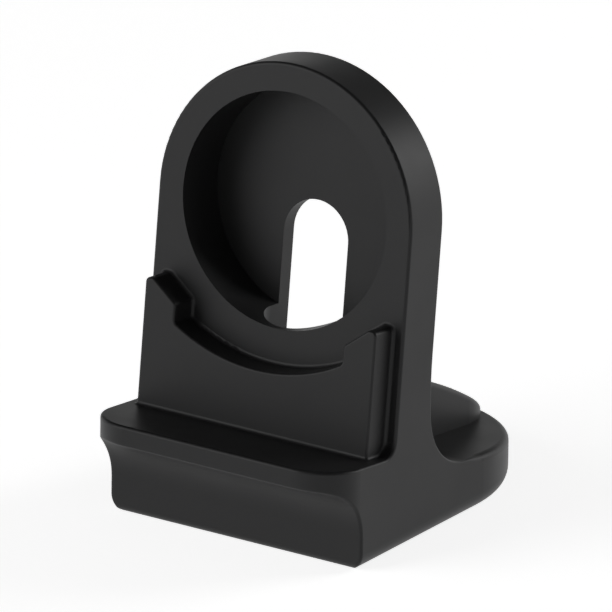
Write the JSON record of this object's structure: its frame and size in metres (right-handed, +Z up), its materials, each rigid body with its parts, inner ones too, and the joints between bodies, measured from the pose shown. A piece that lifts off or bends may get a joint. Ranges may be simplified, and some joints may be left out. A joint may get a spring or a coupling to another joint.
{
  "type": "smartwatch charging dock",
  "caption": "Soft moulded stand that holds a round watch charger in a leaning ring above a lipped tray, with a slot and a channel that lead the cable out at the rear.",
  "frame": {"origin": "on the table, in the middle of the dock's width and depth", "axes": "+Z up, +X to the right of someone facing the watch, -Y towards that person: the lip is at -Y and the cable leaves at +Y"},
  "size_m": [0.0472, 0.0662, 0.0744],
  "materials": {
    "silicone": "black matt silicone with a soft sheen"
  },
  "bodies": {
    "root": {"dock_body": "silicone"}
  },
  "joints": []
}
